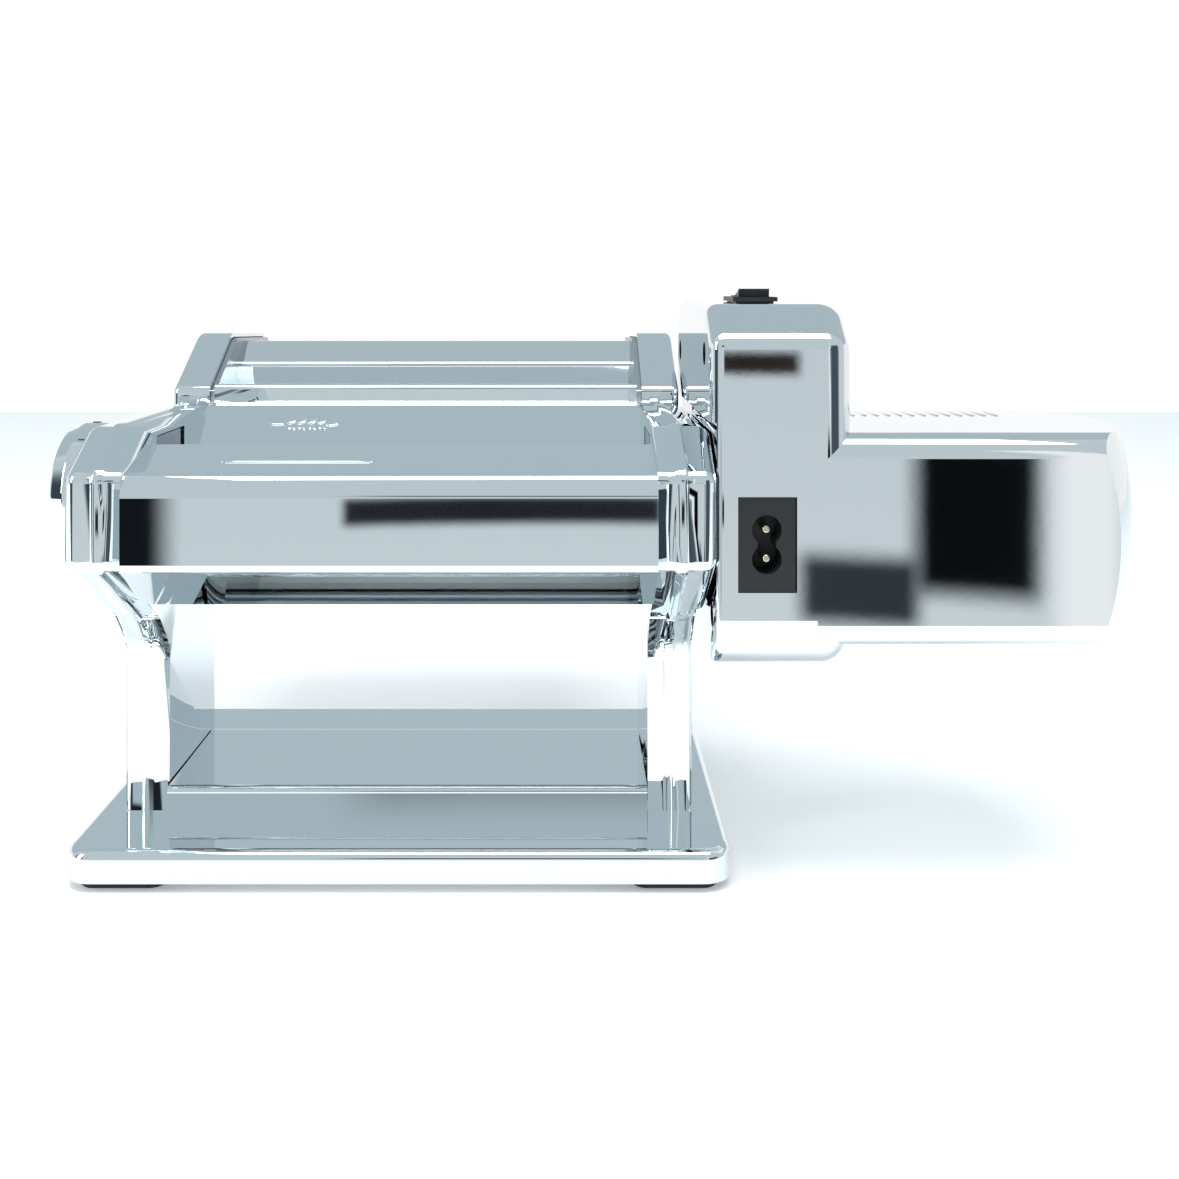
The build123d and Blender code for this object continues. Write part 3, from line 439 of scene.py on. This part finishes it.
def pressed(name, node_name, edge, away):
    """Replace a casing with a copy whose outer wall is pressed in beyond an edge."""
    source = frame["nodes"][node_name]
    data = source.data.copy()
    data.transform(source.matrix_world)
    casing = bpy.data.objects.new(name, data)
    bpy.context.scene.collection.objects.link(casing)
    mesh = bmesh.new()
    mesh.from_mesh(data)
    bmesh.ops.remove_doubles(mesh, verts=mesh.verts, dist=WELD)
    side = 1 if sum(v.co.x for v in mesh.verts) > 0 else -1
    cut_across(mesh, (side * edge, side * (edge + away * BAND_RAMP)))
    moved = press_outer_wall(mesh, edge, away)
    mesh.to_mesh(data)
    mesh.free()
    data.shade_smooth()
    data.set_sharp_from_angle(angle=SHARP)
    even = casing.modifiers.new("even_normals", "WEIGHTED_NORMAL")
    even.keep_sharp = True
    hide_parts(node_name)
    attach(casing, "machine")
    data.materials.clear()
    data.materials.append(FINISHES["chrome_plate"])
    print(name, "pressed points", moved)


for hand in ("left", "right"):
    pressed(hand + "_frame_pressing", hand + "_side_frame", BEAD_INNER, -1)
    pressed(hand + "_cover_pressing", hand + "_end_cover", BEAD_OUTER, 1)

# %% [markdown]
# ## Raised marks
# The top plate carries a small raised emblem, here an ear of wheat, and the front cover a
# plain raised line. Both are pressed into the sheet, so they are drawn as low cushions
# that follow the surface underneath them: each outline is dropped straight down, and
# smaller rings inside it are lifted step by step.

# %% Relief on a surface
DOWN = Vector((0, 0, -1))
ABOVE = 0.3  # metres, higher than anything on the machine


def surface_tree(node_name):
    """A search tree over a CAD node, for finding its surface along a line."""
    source = frame["nodes"][node_name]
    mesh = bmesh.new()
    mesh.from_mesh(source.data)
    mesh.transform(source.matrix_world)
    tree = BVHTree.FromBMesh(mesh)
    mesh.free()
    return tree


def cushion(mesh, trees, points, height):
    """Add one low cushion over a flat outline in X-Y."""
    middle = sum((Vector(p) for p in points), Vector((0, 0))) / len(points)
    rings = []
    for share, lift in ((1.0, -0.1 * MM), (0.93, 0.55 * height), (0.75, 0.9 * height), (0.4, height)):
        ring = []
        for p in points:
            x, y = middle + (Vector(p) - middle) * share
            hits = [t.ray_cast(Vector((x, y, ABOVE)), DOWN)[:2] for t in trees]
            place, normal = max((h for h in hits if h[0] is not None), key=lambda h: h[0].z)
            ring.append(mesh.verts.new(place + normal * lift))
        rings.append(ring)
    for low, high in zip(rings, rings[1:]):
        for i in range(len(low)):
            j = (i + 1) % len(low)
            mesh.faces.new((low[i], low[j], high[j], high[i]))
    mesh.faces.new(rings[-1])
    mesh.faces.new(rings[0][::-1])


def relief(name, trees, outlines, height, slot_name, body):
    """Make one piece of low cushions that rides on a body."""
    mesh = bmesh.new()
    for points in outlines:
        cushion(mesh, trees, points, height)
    bmesh.ops.recalc_face_normals(mesh, faces=mesh.faces)
    data = bpy.data.meshes.new(name)
    mesh.to_mesh(data)
    mesh.free()
    data.shade_smooth()
    data.materials.append(FINISHES[slot_name])
    made = bpy.data.objects.new(name, data)
    bpy.context.scene.collection.objects.link(made)
    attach(made, body)
    print(name, "outlines", len(outlines))


# %% [markdown]
# Two outlines are enough for all the marks: a pointed oval for a grain of wheat, and a
# straight bar with round ends.

# %% Outlines


def grain_outline(x, y, long, wide, turn):
    """A pointed oval, as a grain of wheat, turned by an angle in degrees."""
    points = []
    for k in range(18):
        a = 2 * math.pi * k / 18
        u, v = long * math.cos(a), wide * math.sin(a) * (1 - 0.3 * math.cos(a))
        t = math.radians(turn)
        points.append((x + u * math.cos(t) - v * math.sin(t), y + u * math.sin(t) + v * math.cos(t)))
    return points


def bar_outline(x0, x1, y, half):
    """A straight bar with round ends."""
    points = []
    for end, quarter in ((x1, -0.5), (x0, 0.5)):
        for k in range(21):
            a = math.pi * (k / 20 + quarter)
            points.append((end + half * math.cos(a), y + half * math.sin(a)))
    return points


print("outline points", len(bar_outline(0, 1, 0, 1)))

# %% The wheat ear and the line
top_trees = [surface_tree(n) for n in ("front_cover", "rear_cover", "hopper_plate")]
plate_low, plate_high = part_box("hopper_plate")
EAR_X = -31.0 * MM
EAR_Y = 0.5 * (plate_low[1] + plate_high[1]) - 1.0 * MM
grains = [grain_outline(EAR_X, EAR_Y, 2.6 * MM, 1.2 * MM, 0)]
for k in range(4):
    for turn, flip in ((35, 1), (-35, -1)):
        grain_x = EAR_X - (k * 3.6 + 3.4) * MM
        grains.append(grain_outline(grain_x, EAR_Y + flip * 1.9 * MM, 2.3 * MM, 1.0 * MM, turn))
grains.append(bar_outline(EAR_X - 22 * MM, EAR_X - 17 * MM, EAR_Y, 0.45 * MM))
relief("wheat_ear", top_trees, grains, 0.45 * MM, "chrome_plate", "machine")
LINE_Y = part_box("front_cover")[0][1] + 13.0 * MM
line = bar_outline(-52 * MM, -6 * MM, LINE_Y, 0.8 * MM)
relief("front_line", top_trees, [line], 0.4 * MM, "chrome_plate", "machine")

# %% [markdown]
# The motor's top has a patch of low moulded ribs, one every four millimetres.

# %% Ribs on the motor
RIB_STEP, RIB_COUNT = 4, 13
body_low, body_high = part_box("motor_housing")
rib_y = 0.5 * (body_low[1] + body_high[1]) + 6 * MM
ribs = [
    grain_outline(body_high[0] - (34 + RIB_STEP * k) * MM, rib_y, 9 * MM, 0.8 * MM, 90)
    for k in range(RIB_COUNT)
]
relief("motor_ribs", [surface_tree("motor_housing")], ribs, 0.35 * MM, "plated_plastic", "motor_unit")

# %% [markdown]
# The regulator knob is numbered round its rim so that a gap can be set again. Each
# numeral is flat type, turned to face outwards and rested on the rim. The numerals
# become one mesh, because they turn and pull out with the knob.

# %% Numerals on the knob
NUMERAL = 4.2 * MM
NUMERAL_RELIEF = 0.12 * MM
REACH = 40 * MM  # well outside the rim
knob_low, knob_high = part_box("regulator_knob")
regulator = next(j for j in frame["joints"] if j["name"] == "regulator_turn")
knob_centre = Vector(regulator["pos_m"])
knob_centre.x = 0.5 * (knob_low[0] + knob_high[0])
knob_tree = surface_tree("regulator_knob")


def numeral_mesh(digit):
    """A digit as a flat mesh, facing +Z."""
    letter = bpy.data.curves.new("numeral", "FONT")
    letter.body = str(digit)
    letter.size = NUMERAL
    letter.align_x, letter.align_y = "CENTER", "CENTER"
    letter.extrude = NUMERAL_RELIEF
    holder = bpy.data.objects.new("numeral", letter)
    bpy.context.scene.collection.objects.link(holder)
    bpy.context.view_layer.update()
    graph = bpy.context.evaluated_depsgraph_get()
    flat = bpy.data.meshes.new_from_object(holder.evaluated_get(graph))
    bpy.data.objects.remove(holder)
    bpy.data.curves.remove(letter)
    return flat


print("knob centre", tuple(knob_centre))

# %% Set the numerals round the rim
numerals = bmesh.new()
for digit in range(10):
    angle = math.radians(90 + 36 * digit)
    out = Vector((0, math.cos(angle), math.sin(angle)))
    place = knob_tree.ray_cast(knob_centre + out * REACH, -out)[0]
    up = Vector((-1, 0, 0))
    turn = Matrix((up.cross(out), up, out)).transposed().to_4x4()
    flat = numeral_mesh(digit)
    flat.transform(Matrix.Translation(place + out * 0.02 * MM) @ turn)
    numerals.from_mesh(flat)
    bpy.data.meshes.remove(flat)
bmesh.ops.remove_doubles(numerals, verts=numerals.verts, dist=WELD)
numeral_data = bpy.data.meshes.new("knob_numerals")
numerals.to_mesh(numeral_data)
numerals.free()
numeral_data.materials.append(FINISHES["black_plastic"])
numeral_piece = bpy.data.objects.new("knob_numerals", numeral_data)
bpy.context.scene.collection.objects.link(numeral_piece)
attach(numeral_piece, "knob")
print("numerals", len(numeral_data.polygons), "faces")
